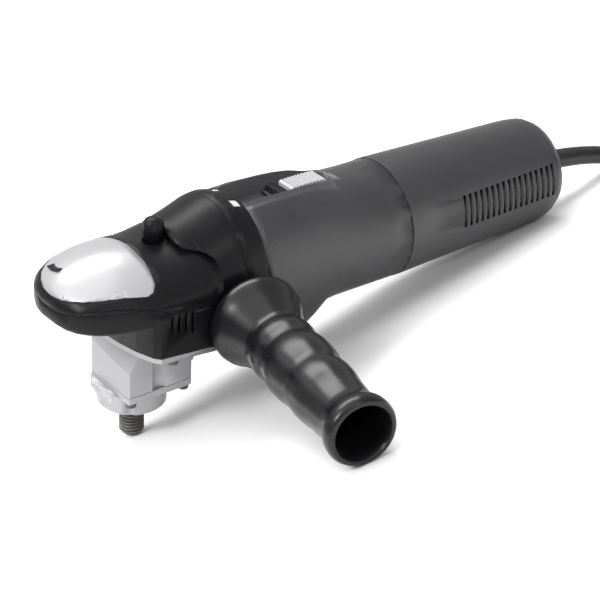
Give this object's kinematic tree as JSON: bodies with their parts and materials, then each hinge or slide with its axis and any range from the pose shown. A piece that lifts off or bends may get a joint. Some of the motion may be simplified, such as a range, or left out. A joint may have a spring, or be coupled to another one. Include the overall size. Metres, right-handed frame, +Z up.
{
  "type": "rotary polisher",
  "caption": "Hand-held electric rotary polisher: right-angle geared head with a threaded spindle, slim body with slide switch, screwed side grip and mains cord.",
  "frame": {"origin": "centre of the footprint of the tool without its cord, on the surface it lies on", "axes": "+X from the head towards the tail, +Y away from the side grip, +Z up; the tool lies on its spindle end, grip end and tail"},
  "size_m": [0.5226, 0.2134, 0.1209],
  "materials": {
    "black_plastic": "satin smooth black",
    "board_resin": "potted circuit board",
    "bright_steel": "machined steel",
    "carbon": "carbon",
    "cast_aluminium": "bead blasted casting",
    "copper": "varnished copper",
    "dark_steel": "blackened steel",
    "grey_plastic": "satin grey",
    "lamp_plastic": "milky white lens",
    "rubber": "matt black rubber",
    "silver_paint": "glossy silver paint",
    "textured_plastic": "fine matt grain, dark grey"
  },
  "bodies": {
    "tool_body": {"bearing_bracket": "cast_aluminium", "bearing_cover": "cast_aluminium", "bevel_front_bearing": "bright_steel", "bevel_rear_bearing": "bright_steel", "brush_holder_left": "black_plastic", "brush_holder_right": "black_plastic", "brush_spring_left": "bright_steel", "brush_spring_right": "bright_steel", "carbon_brush_left": "carbon", "carbon_brush_right": "carbon", "cord_clamp": "grey_plastic", "cord_coil": "rubber", "cover_screw_1": "dark_steel", "cover_screw_2": "dark_steel", "cover_screw_3": "dark_steel", "cover_screw_4": "dark_steel", "electronics_module": "board_resin", "flange_screw_1": "dark_steel", "flange_screw_2": "dark_steel", "front_cap": "silver_paint", "front_field_coil": "copper", "front_motor_bearing": "bright_steel", "gear_housing": "cast_aluminium", "handle_bolt": "bright_steel", "head_cover_lower": "black_plastic", "head_cover_upper": "black_plastic", "inner_bracket": "cast_aluminium", "lower_spindle_bearing": "bright_steel", "marker_light_left": "lamp_plastic", "marker_light_right": "lamp_plastic", "motor_housing": "textured_plastic", "neck_band": "black_plastic", "neck_cover": "black_plastic", "plug": "rubber", "power_cord": "rubber", "rear_bearing_bracket": "black_plastic", "rear_field_coil": "copper", "rear_housing": "textured_plastic", "rear_motor_bearing": "bright_steel", "side_handle": "black_plastic", "spindle_lock_spring": "bright_steel", "stator_core": "dark_steel", "strain_relief": "rubber", "switch_body": "black_plastic", "upper_spindle_bearing": "bright_steel"},
    "armature": {"armature_shaft": "bright_steel", "armature_core": "dark_steel", "commutator": "copper", "cooling_fan": "black_plastic"},
    "countershaft_set": {"countershaft": "bright_steel", "intermediate_gear": "bright_steel"},
    "bevel_shaft_set": {"bevel_shaft": "bright_steel", "final_gear": "bright_steel"},
    "output_spindle": {"spindle": "dark_steel", "crown_gear": "bright_steel"},
    "slide_switch": {"switch_slider": "black_plastic", "switch_pad": "grey_plastic", "switch_rod": "bright_steel"},
    "lock_button": {"spindle_lock_button": "black_plastic"},
    "dial": {"speed_dial": "grey_plastic"}
  },
  "joints": [
    {"name": "armature_spin", "type": "hinge", "parent": "tool_body", "child": "armature", "pos_m": [-0.04868, 0.05775, 0.06325], "axis": [0.9835, 0, -0.181], "continuous": true},
    {"name": "countershaft_spin", "type": "hinge", "parent": "tool_body", "child": "countershaft_set", "pos_m": [-0.09194, 0.06482, 0.04917], "axis": [0.9835, 0, -0.181], "continuous": true},
    {"name": "bevel_shaft_spin", "type": "hinge", "parent": "tool_body", "child": "bevel_shaft_set", "pos_m": [-0.10769, 0.05775, 0.07411], "axis": [0.9835, 0, -0.181], "continuous": true},
    {"name": "spindle_spin", "type": "hinge", "parent": "tool_body", "child": "output_spindle", "pos_m": [-0.15302, 0.06854, 0.04881], "axis": [0.1721, -0.31, 0.935], "continuous": true},
    {"name": "switch_slide", "type": "slide", "parent": "tool_body", "child": "slide_switch", "axis": [-0.9835, 0, 0.181], "range_m": [0, 0.01]},
    {"name": "spindle_lock_press", "type": "slide", "parent": "tool_body", "child": "lock_button", "axis": [-0.1721, 0.31, -0.935], "range_m": [0, 0.003], "stiffness_N_per_m": 1500, "deforming": ["spindle_lock_spring"]},
    {"name": "speed_dial_turn", "type": "hinge", "parent": "tool_body", "child": "dial", "pos_m": [0.13921, 0.05235, 0.04549], "axis": [0.9835, 0, -0.181], "range_deg": [-135, 135]}
  ],
  "couplings": [
    {"joint": "countershaft_spin", "follows": "armature_spin", "ratio": -0.25},
    {"joint": "bevel_shaft_spin", "follows": "armature_spin", "ratio": 0.13462},
    {"joint": "spindle_spin", "follows": "armature_spin", "ratio": -0.051775}
  ]
}
